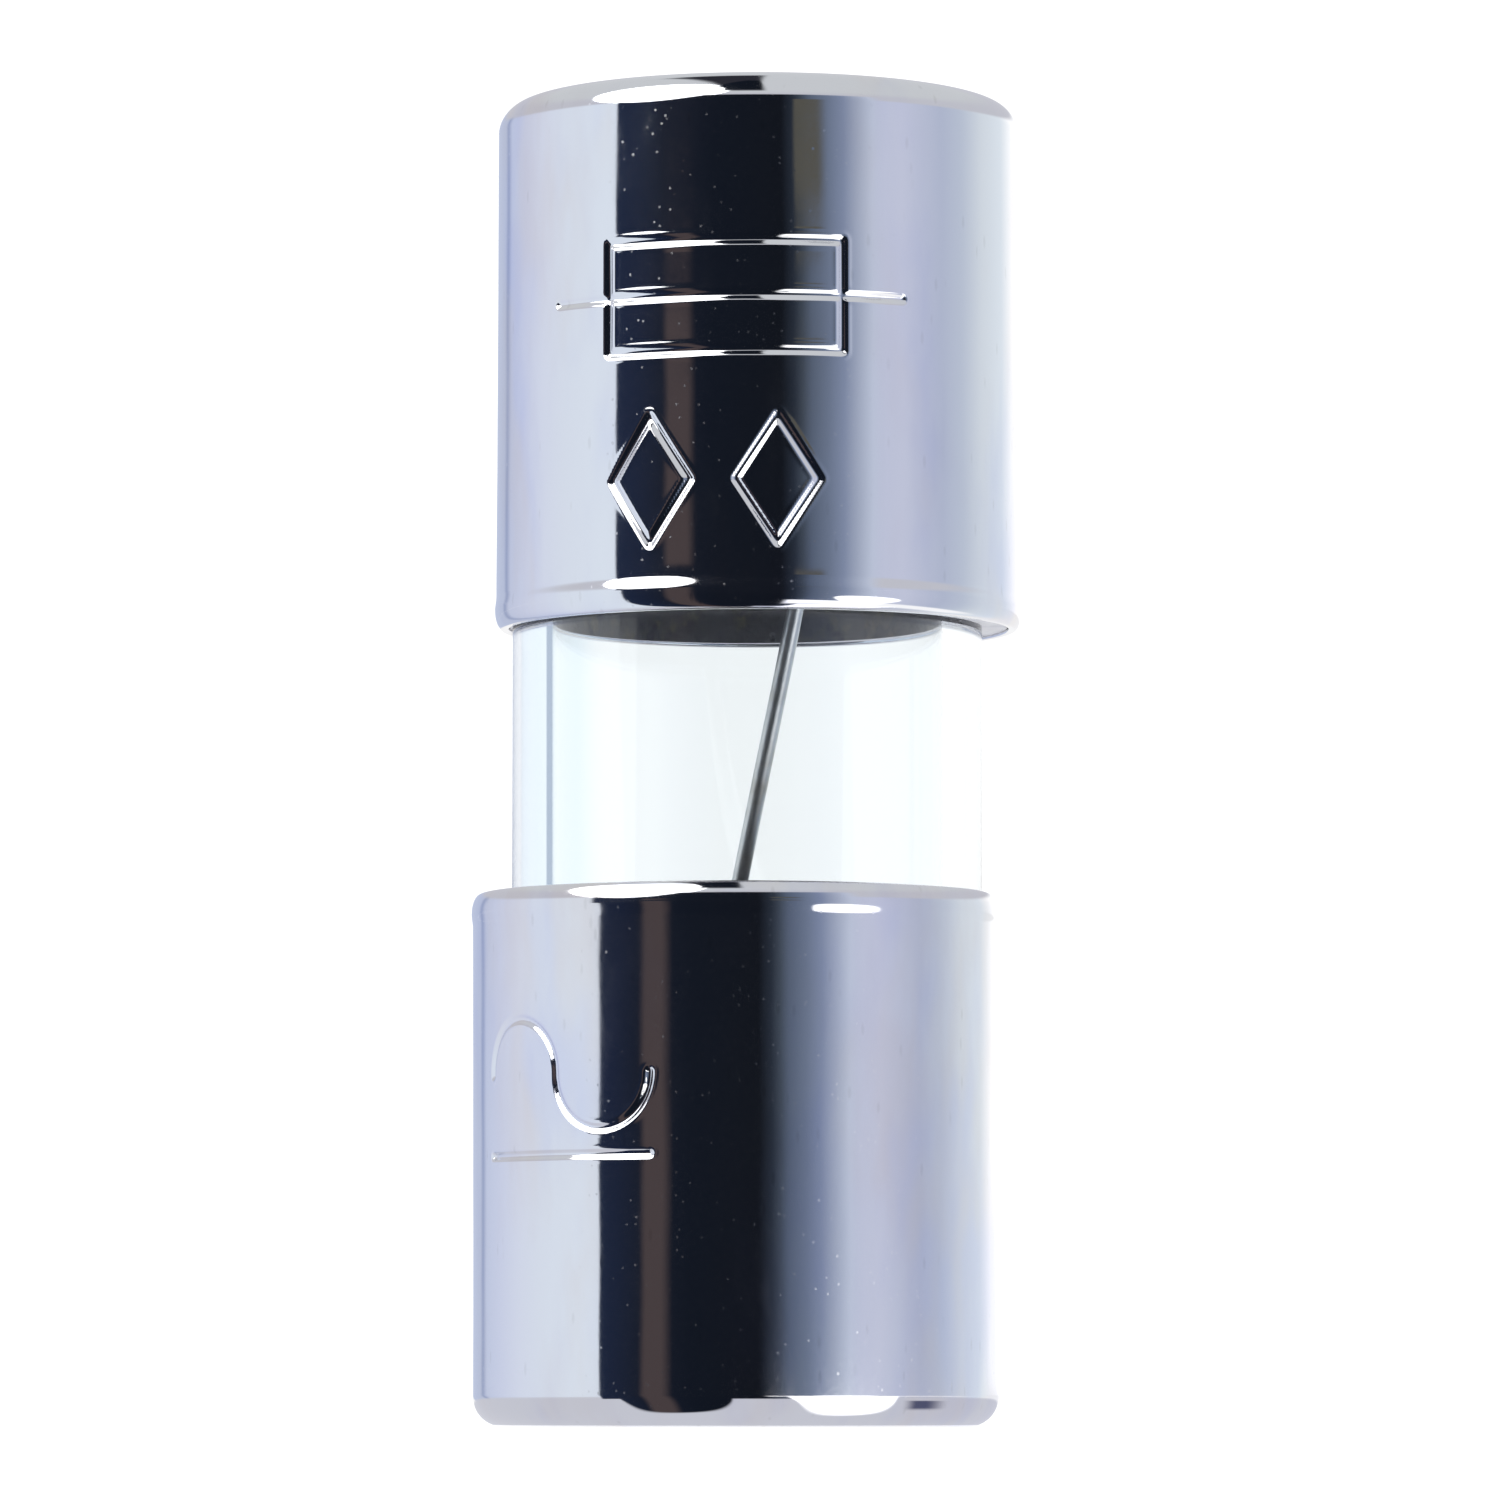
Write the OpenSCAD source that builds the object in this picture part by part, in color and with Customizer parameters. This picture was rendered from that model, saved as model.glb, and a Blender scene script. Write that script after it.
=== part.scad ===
// Short glass cartridge fuse: a glass tube closed by two drawn metal caps, with a
// round fuse wire running diagonally from rim to rim. Each end of the wire hooks
// over the tube's rim, lies between glass and cap, and is soldered into the cap.
// Millimetres. +Z runs along the tube, the origin is on the tube's axis at the
// outer face of the lower cap.

/* [Fuse] */
// Overall length over both caps
fuse_length = 15.875; // [14:0.005:40]
// Outside diameter of a cap
cap_d = 6.35; // [5:0.01:10]

/* [End caps] */
// Length of a cap along the fuse
cap_length = 6.35; // [5:0.01:7]
// Wall of the cap's side
cap_wall = 0.16; // [0.12:0.01:0.3]
// Thickness of the cap's closed end
cap_floor = 0.2; // [0.12:0.01:0.5]
// Outside corner radius at the closed end
cap_corner_r = 0.36; // [0.3:0.01:0.8]
// Height of the lip, the raised band round the open end
lip_height = 0.32; // [0.25:0.01:0.5]
// How far the lip stands out past the cap's side
lip_step = 0.02; // [0:0.005:0.03]
// Height of the slope between the cap's side and the lip
lip_slope = 0.12; // [0.05:0.01:0.15]
// How much the lip widens from its slope to its edge
lip_flare = 0.005; // [0.002:0.001:0.01]
// Edge radius of the lip
lip_edge_r = 0.05; // [0.04:0.005:0.06]

/* [Stamped marks] */
// Width of a stamped line
stamp_w = 0.13; // [0.08:0.01:0.2]
// Depth of a stamped line
stamp_depth = 0.05; // [0.02:0.005:0.08]
// Width of the fuse symbol's box, along the cap's surface
box_w = 2.9; // [2:0.1:4]
// Height of the fuse symbol's box
box_h = 1.3; // [0.8:0.1:1.6]
// Length of the lead at each side of the fuse symbol's box
lead_l = 0.8; // [0.3:0.1:1]
// Height of a stamped diamond
diamond_h = 1.5; // [1:0.1:1.7]
// Width of a stamped diamond
diamond_w = 1.0; // [0.6:0.1:1.4]
// Length of the stamped wave and of the bar below it
wave_w = 2.6; // [1.8:0.1:3]
// Distance from the wave's middle line to the bar
wave_to_bar = 0.95; // [0.7:0.05:1.1]

/* [Glass tube] */
// Wall of the glass tube
glass_wall = 0.48; // [0.4:0.01:1]

/* [Fuse wire] */
// Diameter of the fuse wire
wire_d = 0.2; // [0.1:0.01:0.3]
// Length of the wire's tail outside the glass
wire_tail = 1.2; // [0.6:0.05:2]
// Direction of the upper hook, in degrees round the tube from +X
wire_turn = -46; // [-60:1:60]
// How far the wire's plane passes from the tube's axis
wire_offset = 0.28; // [0:0.01:0.5]

/* [Solder, cement and clearances] */
// Gap between the wire and the glass
wire_clear = 0.02; // [0.01:0.005:0.05]
// Room left for the wire's tail between glass and cap, beyond its diameter
tail_room = 0.07; // [0.05:0.01:0.2]
// Thinnest cement film, on the side away from the tail
film = 0.0375; // [0.02:0.0025:0.08]
// Solder between the wire and the cap's closed end
solder_film = 0.03; // [0.02:0.005:0.1]
// Solder beyond the end of the wire's tail
solder_past_tail = 0.25; // [0.1:0.05:0.5]
// Height of the solder inside the tube, at the glass
pool_h = 0.55; // [0.3:0.05:0.8]
// How far the solder's surface sinks at the middle of the tube
pool_sink = 0.3; // [0.1:0.05:0.5]
// Distance from the cap's open end to the cement
cement_back = 0.04; // [0.02:0.01:1]

/* [Hidden] */
$fn = 96;
past = 0.1;            // how far a cutting shape runs past what it cuts
joint_ball = 1.01;     // balls this much wider than the wire join its pieces

wire_r = wire_d / 2;
cap_r = cap_d / 2;
side_r = cap_r - lip_step;
cap_bore_r = side_r - cap_wall;
cap_inner_corner_r = cap_corner_r - cap_wall;

// The cap sits off the tube's axis by cap_shift, because the wire's tail pushes its
// side away from the glass. cap_play is the even gap that would be there without it.
tail_gap = wire_d + tail_room;
cap_play = (tail_gap + film * cos(wire_turn)) / (1 + cos(wire_turn));
cap_shift = cap_play - film;
// Directions in which the caps sit off the axis, before the lower end is turned over.
upper_shift_turn = 0;
lower_shift_turn = 2 * wire_turn;

glass_r = cap_bore_r - cap_play;
glass_bore_r = glass_r - glass_wall;
rim_r = glass_wall / 2;
solder_bed = wire_clear + wire_d + solder_film;
glass_bottom = cap_floor + solder_bed;
glass_top = fuse_length - glass_bottom;
middle_z = fuse_length / 2;

// The wire's path, in its own plane: u runs outwards from the tube's axis, z up.
// It bends over the rim about the middle of the glass wall.
bend_r = rim_r + wire_clear + wire_r;
bend_z = glass_top - rim_r;
bend_u = sqrt(pow(glass_r - rim_r, 2) - wire_offset * wire_offset);
rise = bend_z - middle_z;
// Lean of the straight run from the tube's axis, so that it passes through the middle
// of the tube and meets both bends without a kink.
lean = acos(bend_r / norm([bend_u, rise])) - atan2(rise, bend_u);
run_half = rise * cos(lean) + bend_u * sin(lean);
tail_z = bend_z - wire_tail;
solder_skirt_z = tail_z - solder_past_tail;

function degrees_round(arc_length) = arc_length / side_r * 180 / PI;

// ---------------------------------------------------------------- general shapes

// The wire, solder and cement are drawn for the upper end. The lower end is the same,
// turned over about the axis that crosses the wire's plane at a right angle, but for
// the direction in which its cap sits off the tube's axis.
module lower_end() {
    translate([0, 0, middle_z])
        rotate([0, 0, wire_turn])
            rotate([0, 180, 0])
                rotate([0, 0, -wire_turn])
                    translate([0, 0, -middle_z])
                        children();
}

// ---------------------------------------------------------------- glass

// The tube's rims are fire-polished to a full round.
module glass_body() {
    rotate_extrude() {
        translate([glass_bore_r, glass_bottom + rim_r])
            square([glass_wall, glass_top - glass_bottom - 2 * rim_r]);
        for (z = [glass_bottom + rim_r, glass_top - rim_r])
            translate([glass_bore_r + rim_r, z])
                circle(rim_r);
    }
}

module glass_tube() {
    color([0.86, 0.93, 0.97, 0.35])
        glass_body();
}

// ---------------------------------------------------------------- caps

// A cap's outside, closed end at z = 0 and open end up. The lip stands out past the
// side, with a slope below it and a round edge, and flares a little.
module cap_outside() {
    square([side_r - cap_corner_r, cap_length]);
    polygon([
        [0, cap_corner_r],
        [side_r, cap_corner_r],
        [side_r, cap_length - lip_height],
        [cap_r - lip_flare, cap_length - lip_height + lip_slope],
        [cap_r, cap_length - lip_edge_r],
        [0, cap_length - lip_edge_r],
    ]);
    translate([0, cap_corner_r])
        square([cap_r - lip_edge_r, cap_length - cap_corner_r]);
    translate([side_r - cap_corner_r, cap_corner_r])
        circle(cap_corner_r);
    translate([cap_r - lip_edge_r, cap_length - lip_edge_r])
        circle(lip_edge_r);
}

// A cap's cavity, from its closed end at z = cap_floor up to z = top.
module cavity_section(top) {
    corner = cap_inner_corner_r;
    translate([0, cap_floor])
        square([cap_bore_r - corner, top - cap_floor]);
    translate([0, cap_floor + corner])
        square([cap_bore_r, top - cap_floor - corner]);
    translate([cap_bore_r - corner, cap_floor + corner])
        circle(corner);
}

module cap_body() {
    rotate_extrude()
        difference() {
            cap_outside();
            cavity_section(cap_length + past);
        }
}

// ---------------------------------------------------------------- stamped marks

// Marks are drawn on a cap with its closed end down. Angles run round the cap from
// +X, and each line is cut stamp_depth into the side.
module stamp_ring(from, to, z) {
    rotate([0, 0, from])
        rotate_extrude(angle = to - from)
            translate([side_r - stamp_depth, z - stamp_w / 2])
                square([stamp_depth + past, stamp_w]);
}

// Stands a flat drawing up against the cap at an angle, and cuts it in radially.
module stamp_at(angle, z) {
    intersection() {
        rotate([0, 0, angle])
            translate([side_r - 4 * stamp_depth - past, 0, z])
                rotate([90, 0, 90])
                    linear_extrude(4 * stamp_depth + 2 * past)
                        children();
        rotate_extrude()
            translate([side_r - stamp_depth, z - cap_length / 2])
                square([stamp_depth + past, cap_length]);
    }
}

module line_2d(length) {
    square([length, stamp_w], center = true);
    for (end = [-1, 1])
        translate([end * length / 2, 0])
            circle(d = stamp_w);
}

module diamond_2d() {
    side = norm([diamond_w, diamond_h]) / 2;
    for (x = [-1, 1], y = [-1, 1])
        translate([x * diamond_w / 4, y * diamond_h / 4])
            rotate([0, 0, -x * y * atan2(diamond_h, diamond_w)])
                line_2d(side);
}

// One wave and a bar: two half circles, one up and one down, over a straight line.
module wave_2d() {
    r = wave_w / 4;
    for (side = [-1, 1])
        translate([side * r, 0])
            difference() {
                circle(r + stamp_w / 2);
                circle(r - stamp_w / 2);
                translate([0, side * (r + stamp_w)])
                    square(2 * (r + stamp_w), center = true);
            }
    translate([0, -wave_to_bar])
        line_2d(wave_w);
}

// A fuse symbol: a box with a line through it. The box's long lines run a little past
// its upright ones, whose round ends stop just short of them, so that no two touch.
module stamp_fuse_symbol(angle, z) {
    box_half = degrees_round(box_w) / 2;
    ring_half = box_half + degrees_round(0.3 * stamp_w);
    line_half = box_half + degrees_round(lead_l);
    for (side = [-1, 1])
        stamp_ring(angle - ring_half, angle + ring_half, z + side * box_h / 2);
    stamp_ring(angle - line_half, angle + line_half, z);
    for (side = [-1, 1])
        stamp_at(angle + side * box_half, z)
            rotate([0, 0, 90])
                line_2d(box_h - 0.2 * stamp_w);
}

// Where the marks stand: heights from the cap's closed end, and angles on the fuse.
symbol_z = 0.42 * cap_length;
symbol_angle = -98;
diamond_z = 0.76 * cap_length;
diamond_angles = [-114, -86];
wave_z = 0.65 * cap_length;
wave_angle = -132;

// ---------------------------------------------------------------- cap nodes

// The upper cap is turned over about its own X axis, so angles on it change sign.
module upper_cap() {
    color([0.78, 0.79, 0.82])
        translate([cap_shift, 0, fuse_length])
            rotate([180, 0, 0])
                difference() {
                    cap_body();
                    stamp_fuse_symbol(-symbol_angle, symbol_z);
                    for (angle = diamond_angles)
                        stamp_at(-angle, diamond_z)
                            diamond_2d();
                }
}

module lower_cap() {
    color([0.78, 0.79, 0.82])
        translate([-cap_shift, 0, 0])
            difference() {
                cap_body();
                stamp_at(wave_angle, wave_z)
                    wave_2d();
            }
}

// ---------------------------------------------------------------- fuse wire

module wire_joint(u, z) {
    translate([u, 0, z])
        sphere(joint_ball * wire_r);
}

// The tail outside the glass, and the bend over the rim.
module wire_hook() {
    translate([bend_u + bend_r, 0, tail_z])
        cylinder(h = wire_tail, r = wire_r);
    wire_joint(bend_u + bend_r, bend_z);
    translate([bend_u, 0, bend_z])
        rotate([90, 0, 0])
            rotate_extrude(angle = 180 - lean)
                translate([bend_r, 0])
                    circle(wire_r);
}

module in_wire_plane() {
    rotate([0, 0, wire_turn])
        translate([0, wire_offset, 0])
            children();
}

module wire_middle() {
    translate([0, 0, middle_z])
        rotate([0, lean, 0]) {
            cylinder(h = 2 * run_half, r = wire_r, center = true);
            for (end = [-1, 1])
                wire_joint(0, end * run_half);
        }
}

module fuse_wire() {
    color([0.62, 0.62, 0.64])
        in_wire_plane() {
            wire_middle();
            wire_hook();
            translate([0, 0, 2 * middle_z])
                rotate([0, 180, 0])
                    wire_hook();
        }
}

// ---------------------------------------------------------------- solder and cement

// Moves what fits in a cap off the tube's axis, as far as the cap is.
module with_cap(direction) {
    translate([cap_shift * cos(direction), cap_shift * sin(direction), 0])
        children();
}

// What fills a cap's closed end: it covers the tube's rim and the wire's hook, and
// stands in the tube as a shallow pool with a hollow surface.
module solder_body(direction) {
    pool_r = (glass_bore_r * glass_bore_r + pool_sink * pool_sink) / (2 * pool_sink);
    difference() {
        with_cap(direction)
            translate([0, 0, fuse_length])
                rotate([180, 0, 0])
                    rotate_extrude()
                        cavity_section(fuse_length - solder_skirt_z);
        glass_body();
        in_wire_plane() {
            wire_middle();
            wire_hook();
        }
        translate([0, 0, glass_top - middle_z])
            cylinder(h = middle_z - pool_h, r = glass_bore_r);
        translate([0, 0, glass_top - pool_h + pool_sink - pool_r])
            sphere(pool_r);
    }
}

module cement_body(direction) {
    low = fuse_length - cap_length + cement_back;
    difference() {
        with_cap(direction)
            translate([0, 0, low])
                cylinder(h = solder_skirt_z - low, r = cap_bore_r);
        translate([0, 0, low - past])
            cylinder(h = solder_skirt_z - low + 2 * past, r = glass_r);
    }
}

module upper_solder() {
    color([0.7, 0.71, 0.73])
        solder_body(upper_shift_turn);
}

module lower_solder() {
    color([0.7, 0.71, 0.73])
        lower_end()
            solder_body(lower_shift_turn);
}

module upper_cement() {
    color([0.56, 0.55, 0.53])
        cement_body(upper_shift_turn);
}

module lower_cement() {
    color([0.56, 0.55, 0.53])
        lower_end()
            cement_body(lower_shift_turn);
}

glass_tube();
upper_cap();
lower_cap();
fuse_wire();
upper_solder();
lower_solder();
upper_cement();
lower_cement();
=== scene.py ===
import math

import bmesh
import bpy
import numpy as np
from bpy.props import FloatProperty, FloatVectorProperty, PointerProperty
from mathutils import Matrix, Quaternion, Vector


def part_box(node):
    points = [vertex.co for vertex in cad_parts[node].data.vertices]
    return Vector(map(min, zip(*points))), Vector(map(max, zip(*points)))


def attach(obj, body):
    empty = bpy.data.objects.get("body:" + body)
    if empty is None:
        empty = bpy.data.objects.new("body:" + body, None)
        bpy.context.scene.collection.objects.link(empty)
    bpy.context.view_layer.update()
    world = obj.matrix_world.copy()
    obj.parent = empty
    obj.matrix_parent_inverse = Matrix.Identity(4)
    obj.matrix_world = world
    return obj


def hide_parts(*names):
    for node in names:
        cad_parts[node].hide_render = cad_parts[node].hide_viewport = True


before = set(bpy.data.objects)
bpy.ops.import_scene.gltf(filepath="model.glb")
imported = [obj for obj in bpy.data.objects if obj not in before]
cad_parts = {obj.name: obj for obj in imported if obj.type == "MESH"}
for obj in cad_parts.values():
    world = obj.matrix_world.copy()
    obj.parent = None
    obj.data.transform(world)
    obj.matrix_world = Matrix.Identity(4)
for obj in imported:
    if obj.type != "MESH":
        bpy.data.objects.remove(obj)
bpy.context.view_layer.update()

bl_info = {
    "name": "Short Glass Cartridge Fuse",
    "version": (1, 0, 0),
    "blender": (4, 5, 0),
    "location": "View3D > Sidebar > Fuse",
    "description": "Builds a short glass cartridge fuse: two drawn caps, a glass tube and a fuse wire",
    "category": "Object",
}

MM = 0.001


# ---- sizes of the frame

def node_box(name):
    """A node's box in the frame: its lowest and highest corner."""
    low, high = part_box(name)
    return Vector(low), Vector(high)


def node_axis(name):
    """Where a round upright node stands: the middle of its box, seen from above."""
    low, high = node_box(name)
    return (low.x + high.x) / 2, (low.y + high.y) / 2


CAP_LOW, CAP_HIGH = node_box("lower_cap")
GLASS_LOW, GLASS_HIGH = node_box("glass_tube")


# ---- settings

class FuseCapSettings(bpy.types.PropertyGroup):
    radius: FloatProperty(
        name="Radius", description="Outside radius of a cap at its open end",
        default=(CAP_HIGH.y - CAP_LOW.y) / 2, min=0.002, max=0.01,
        unit="LENGTH", precision=6)
    length: FloatProperty(
        name="Length", description="Length of a cap along the fuse",
        default=CAP_HIGH.z - CAP_LOW.z, min=0.003, max=0.02, unit="LENGTH", precision=6)
    wall: FloatProperty(
        name="Wall", description="Thickness of the cap's metal at its open end",
        default=0.18 * MM, min=0.05 * MM, max=0.4 * MM, unit="LENGTH", precision=6)
    corner: FloatProperty(
        name="Corner Radius", description="Outside corner radius at the closed end",
        default=0.36 * MM, min=0.1 * MM, max=1.0 * MM, unit="LENGTH", precision=6)
    draft: FloatProperty(
        name="Draft", description="How much smaller the radius is at the closed end",
        default=0.034 * MM, min=0, max=0.1 * MM, unit="LENGTH", precision=6)
    lip_height: FloatProperty(
        name="Lip Height", description="Height of the band round the open end",
        default=0.3 * MM, min=0.1 * MM, max=0.6 * MM, unit="LENGTH", precision=6)
    lip_step: FloatProperty(
        name="Lip Step", description="How far the band stands out past the side",
        default=0.016 * MM, min=0, max=0.05 * MM, unit="LENGTH", precision=6)
    stamp_width: FloatProperty(
        name="Stamp Width", description="Width of a stamped line",
        default=0.12 * MM, min=0.05 * MM, max=0.3 * MM, unit="LENGTH", precision=6)
    stamp_depth: FloatProperty(
        name="Stamp Depth", description="Depth of a stamped line",
        default=0.034 * MM, min=0, max=0.1 * MM, unit="LENGTH", precision=6)
    grid: FloatProperty(
        name="Stamp Grid", description="Spacing of the mesh where the marks are stamped",
        default=0.025 * MM, min=0.015 * MM, max=0.1 * MM, unit="LENGTH", precision=6)
    plating: FloatVectorProperty(
        name="Plating", description="Colour of the nickel plating",
        default=(0.80, 0.805, 0.83), min=0, max=1, subtype="COLOR")
    roughness: FloatProperty(
        name="Roughness", description="Roughness of the plating where it is cleanest",
        default=0.035, min=0, max=1, subtype="FACTOR")


class FuseGlassSettings(bpy.types.PropertyGroup):
    radius: FloatProperty(
        name="Radius", description="Outside radius of the glass tube",
        default=(GLASS_HIGH.x - GLASS_LOW.x) / 2, min=0.001, max=0.01,
        unit="LENGTH", precision=6)
    wall: FloatProperty(
        name="Wall", description="Wall of the glass tube",
        default=0.48 * MM, min=0.2 * MM, max=1.5 * MM, unit="LENGTH", precision=6)
    length: FloatProperty(
        name="Length", description="Length of the glass tube",
        default=GLASS_HIGH.z - GLASS_LOW.z, min=0.005, max=0.05,
        unit="LENGTH", precision=6)
    tint: FloatVectorProperty(
        name="Tint", description="Colour of the glass",
        default=(0.95, 0.978, 0.99), min=0, max=1, subtype="COLOR")


class FuseWireSettings(bpy.types.PropertyGroup):
    diameter: FloatProperty(
        name="Diameter", description="Diameter of the fuse wire",
        default=0.2 * MM, min=0.05 * MM, max=0.5 * MM, unit="LENGTH", precision=6)
    tail: FloatProperty(
        name="Tail", description="Length of the wire's tail outside the glass",
        default=1.2 * MM, min=0.3 * MM, max=3 * MM, unit="LENGTH", precision=6)
    turn: FloatProperty(
        name="Turn", description="Direction of the upper hook round the tube from +X",
        default=math.radians(-46), subtype="ANGLE")
    offset: FloatProperty(
        name="Offset", description="How far the wire's plane passes from the tube's axis",
        default=0.28 * MM, min=0, max=1 * MM, unit="LENGTH", precision=6)
    colour: FloatVectorProperty(
        name="Colour", description="Colour of the tinned wire",
        default=(0.66, 0.67, 0.67), min=0, max=1, subtype="COLOR")


class FuseStageSettings(bpy.types.PropertyGroup):
    distance: FloatProperty(
        name="Camera Distance", description="From the fuse's axis to the camera",
        default=0.105, min=0.03, max=1, unit="LENGTH")
    height: FloatProperty(
        name="Camera Height", description="Height of the camera above the floor",
        default=0.384 * MM, min=0.1 * MM, max=0.5, unit="LENGTH", precision=6)
    tilt: FloatProperty(
        name="Camera Tilt", description="How far the camera looks up",
        default=0.0733, subtype="ANGLE")
    lens: FloatProperty(
        name="Lens", description="Focal length of the camera",
        default=210.56, min=20, max=400, unit="CAMERA")
    floor: FloatVectorProperty(
        name="Floor", description="Colour of the floor",
        default=(0.52, 0.525, 0.53), min=0, max=1, subtype="COLOR")
    backdrop: FloatProperty(
        name="Backdrop", description="Brightness of the studio behind the fuse",
        default=1.2, min=0, max=5)


# ---- helpers for meshes

def put_in_scene(name, data):
    """An object in the scene for a mesh, a light or a camera."""
    piece = bpy.data.objects.new(name, data)
    bpy.context.scene.collection.objects.link(piece)
    return piece


def close_up(mesh, name):
    """Merges a mesh's doubled points, smooths it and turns its faces outwards."""
    work = bmesh.new()
    work.from_mesh(mesh)
    bmesh.ops.remove_doubles(work, verts=work.verts, dist=1e-8)
    bmesh.ops.recalc_face_normals(work, faces=work.faces)
    open_edges = [e for e in work.edges if len(e.link_faces) != 2]
    if open_edges:
        raise RuntimeError(f"{name}: {len(open_edges)} edges aren't closed")
    if work.calc_volume(signed=True) < 0:
        bmesh.ops.reverse_faces(work, faces=work.faces)
    for face in work.faces:
        face.smooth = True
    work.to_mesh(mesh)
    work.free()


def mesh_object(name, points, faces):
    """Makes a closed object from points and faces."""
    mesh = bpy.data.meshes.new(name)
    mesh.from_pydata([tuple(p) for p in points], [], faces)
    close_up(mesh, name)
    return put_in_scene(name, mesh)


def plain_mesh(source, name):
    """Turns an object with a modifier into a plain mesh object, and drops the source."""
    bpy.context.view_layer.update()
    evaluated = source.evaluated_get(bpy.context.evaluated_depsgraph_get())
    mesh = bpy.data.meshes.new_from_object(evaluated)
    old = source.data
    source.modifiers.clear()
    bpy.data.objects.remove(source)
    bpy.data.meshes.remove(old)
    close_up(mesh, name)
    mesh.name = name
    return put_in_scene(name, mesh)


def arc(centre, radius, start, end, count):
    """Points on an arc in a section, from one angle to another in degrees."""
    return [(centre[0] + radius * math.cos(math.radians(a)),
             centre[1] + radius * math.sin(math.radians(a)))
            for a in np.linspace(start, end, count)]


# ---- helpers for nodes

def fill(tree, socket, value):
    """Links a socket to another one, or gives it a value."""
    if isinstance(value, bpy.types.NodeSocket):
        tree.links.new(value, socket)
    else:
        socket.default_value = value


def add(tree, kind, inputs=None, **settings):
    """Adds a node, sets its properties, and fills or links its inputs by name or index."""
    node = tree.nodes.new(kind)
    for key, value in settings.items():
        setattr(node, key, value)
    for key, value in (inputs or {}).items():
        fill(tree, node.inputs[key], value)
    return node


def maths(tree, operation, a, b=0.0, c=0.0, clamp=False):
    return add(tree, "ShaderNodeMath", {0: a, 1: b, 2: c},
               operation=operation, use_clamp=clamp).outputs[0]


def fade(tree, value, low, high):
    """A smooth 0 to 1 as the value goes from low to high, or 1 to 0 if low is above."""
    if low <= high:
        return add(tree, "ShaderNodeMapRange",
                   {"Value": value, "From Min": low, "From Max": high},
                   interpolation_type="SMOOTHSTEP").outputs["Result"]
    return add(tree, "ShaderNodeMapRange",
               {"Value": value, "From Min": high, "From Max": low,
                "To Min": 1.0, "To Max": 0.0},
               interpolation_type="SMOOTHSTEP").outputs["Result"]


def product(tree, first, *others):
    for other in others:
        first = maths(tree, "MULTIPLY", first, other)
    return first


def band(tree, value, begin, full, still_full, end):
    """1 between two soft edges: it rises from begin to full, and falls to end."""
    return product(tree, fade(tree, value, begin, full), fade(tree, value, end, still_full))


def ramp(tree, value, stops):
    """A colour ramp over 0 to 1 from (place, colour) stops."""
    node = add(tree, "ShaderNodeValToRGB", {"Fac": value})
    elements = node.color_ramp.elements
    while len(elements) < len(stops):
        elements.new(1.0)
    for element, (place, colour) in zip(elements, stops):
        element.position = place
        element.color = (*colour, 1.0)
    return node.outputs["Color"]


def mix(tree, factor, a, b):
    """A mix of two colours, each of them a socket or three numbers."""
    node = add(tree, "ShaderNodeMix", {0: factor}, data_type="RGBA", blend_type="MIX")
    for socket, value in ((node.inputs[6], a), (node.inputs[7], b)):
        is_socket = isinstance(value, bpy.types.NodeSocket)
        fill(tree, socket, value if is_socket else (*value[:3], 1.0))
    return node.outputs[2]


def new_material(name):
    material = bpy.data.materials.new(name)
    material.use_nodes = True
    tree = material.node_tree
    tree.nodes.clear()
    return material, tree


def principled(tree, inputs, normal=None):
    """Puts the tree's shader in, and joins it to the surface."""
    node = add(tree, "ShaderNodeBsdfPrincipled", inputs)
    if normal is not None:
        tree.links.new(normal, node.inputs["Normal"])
    out = tree.nodes.new("ShaderNodeOutputMaterial")
    tree.links.new(node.outputs["BSDF"], out.inputs["Surface"])


def group_with(name, inputs, outputs, tree_type="ShaderNodeTree"):
    """An empty node group with named inputs and outputs."""
    group = bpy.data.node_groups.new(name, tree_type)
    for label, kind, default in inputs:
        socket = group.interface.new_socket(label, in_out="INPUT", socket_type=kind)
        if default is not None:
            socket.default_value = default
    for label, kind in outputs:
        group.interface.new_socket(label, in_out="OUTPUT", socket_type=kind)
    return group, group.nodes.new("NodeGroupInput"), group.nodes.new("NodeGroupOutput")


def place_group(tree, group, inputs):
    return add(tree, "ShaderNodeGroup", inputs, node_tree=group)


def uneven_surface():
    """Height of a surface that is gently wavy, lightly grained and pitted."""
    name = "Uneven Surface"
    if name in bpy.data.node_groups:
        return bpy.data.node_groups[name]
    group, given, out = group_with(
        name,
        [("Vector", "NodeSocketVector", None),
         ("Wave Scale", "NodeSocketFloat", 500.0), ("Wave", "NodeSocketFloat", 1.0),
         ("Grain Scale", "NodeSocketFloat", 6000.0), ("Grain", "NodeSocketFloat", 0.1),
         ("Pit Scale", "NodeSocketFloat", 5000.0), ("Pits", "NodeSocketFloat", 0.2)],
        [("Height", "NodeSocketFloat"), ("Pit Mask", "NodeSocketFloat")])
    put = given.outputs
    wave = add(group, "ShaderNodeTexNoise",
               {"Vector": put["Vector"], "Scale": put["Wave Scale"], "Detail": 1.0})
    grain = add(group, "ShaderNodeTexNoise",
                {"Vector": put["Vector"], "Scale": put["Grain Scale"], "Detail": 3.0})
    pits = add(group, "ShaderNodeTexVoronoi",
               {"Vector": put["Vector"], "Scale": put["Pit Scale"], "Randomness": 1.0})
    chosen = add(group, "ShaderNodeTexWhiteNoise", {"Vector": pits.outputs["Position"]})
    few = fade(group, chosen.outputs["Value"], 0.86, 0.9)
    dot = product(group, fade(group, pits.outputs["Distance"], 0.32, 0.1), few)
    height = product(group, wave.outputs["Fac"], put["Wave"])
    height = maths(group, "MULTIPLY_ADD", grain.outputs["Fac"], put["Grain"], height)
    height = maths(group, "SUBTRACT", height, product(group, dot, put["Pits"]))
    group.links.new(height, out.inputs["Height"])
    group.links.new(dot, out.inputs["Pit Mask"])
    return group


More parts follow.
